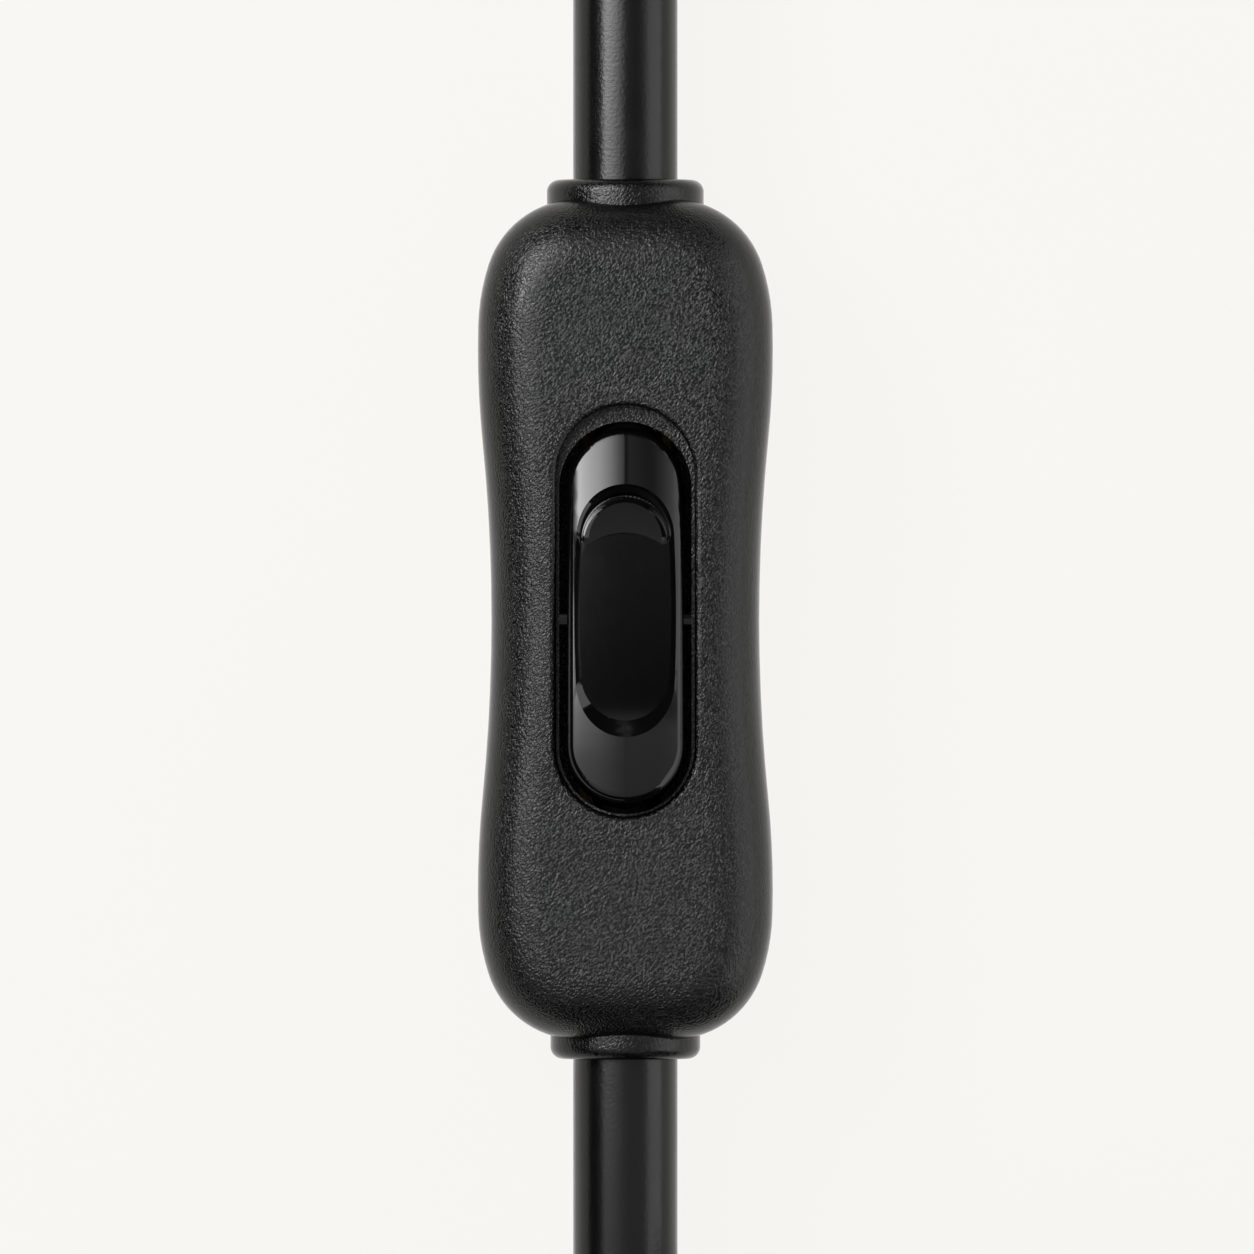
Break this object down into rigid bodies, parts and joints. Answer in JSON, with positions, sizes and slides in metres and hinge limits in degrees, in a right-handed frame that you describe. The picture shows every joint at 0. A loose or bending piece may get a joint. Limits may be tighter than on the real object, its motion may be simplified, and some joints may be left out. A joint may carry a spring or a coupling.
{
  "type": "inline cord switch",
  "caption": "Inline rocker switch on a round mains cord, dished rocker in a waisted housing, cord folded in a hank with its plug, and a free lamp tail.",
  "frame": {"origin": "under the middle of the housing, in the plane the switch lies on", "axes": "+Y along the cord towards the lamp side, +X across the housing, +Z out of the rocker's face"},
  "size_m": [0.0735, 0.2594, 0.0374],
  "materials": {
    "housing_plastic": "fine moulded grain, satin black",
    "rocker_plastic": "polished black",
    "bush_rubber": "smooth moulded black rubber",
    "cord_jacket": "smooth black jacket, slight sheen",
    "nylon": "natural nylon",
    "spring_steel": "drawn spring wire",
    "screw_steel": "zinc plated",
    "terminal_brass": "stamped brass strip",
    "contact_silver": "silver alloy contact",
    "live_insulation": "black core insulation",
    "neutral_insulation": "white core insulation",
    "copper_strand": "bare copper strands",
    "tinned_strand": "tinned strands",
    "blade_metal": "nickel plated brass",
    "plug_plastic": "moulded black, fine grain",
    "tie_plastic": "flat black tie"
  },
  "bodies": {
    "housing": {"top_cover": "housing_plastic", "base_cover": "housing_plastic", "cover_screws": "screw_steel", "fulcrum_terminal": "terminal_brass", "outlet_terminal": "terminal_brass", "fixed_contact": "contact_silver", "terminal_screws": "screw_steel", "conductor_ends": "copper_strand", "live_in_core": "live_insulation", "live_out_core": "live_insulation", "neutral_core": "neutral_insulation", "inlet_jacket": "cord_jacket", "outlet_jacket": "cord_jacket", "inlet_bush": "bush_rubber", "outlet_bush": "bush_rubber", "inlet_clamp": "screw_steel", "outlet_clamp": "screw_steel", "clamp_screws": "screw_steel", "plug_cord": "cord_jacket", "plug_cord_hank": "cord_jacket", "plug_cord_tail": "cord_jacket", "cord_tie": "tie_plastic", "plug_body": "plug_plastic", "plug_blades": "blade_metal", "lamp_cord": "cord_jacket", "lamp_leads": "live_insulation", "lamp_lead_tips": "tinned_strand"},
    "rocker": {"rocker": "rocker_plastic", "plunger_spring": "spring_steel"},
    "plunger": {"plunger": "nylon"},
    "contact_lever": {"contact_lever": "terminal_brass", "moving_contact": "contact_silver"}
  },
  "joints": [
    {"name": "rocker_hinge", "type": "hinge", "parent": "housing", "child": "rocker", "pos_m": [0, 0, 0.0137], "axis": [1, 0, 0], "range_deg": [0, 13]},
    {"name": "plunger_slide", "type": "slide", "parent": "rocker", "child": "plunger", "axis": [0, 0.1132, 0.9936], "range_m": [0, 0.0006], "stiffness_N_per_m": 150, "springref_m": -0.001, "deforming": ["plunger_spring"]},
    {"name": "lever_hinge", "type": "hinge", "parent": "housing", "child": "contact_lever", "pos_m": [0, 0, 0.006], "axis": [1, 0, 0], "range_deg": [-16, 0]}
  ],
  "couplings": [
    {"joint": "lever_hinge", "follows": "rocker_hinge", "ratio": -1.2308}
  ]
}
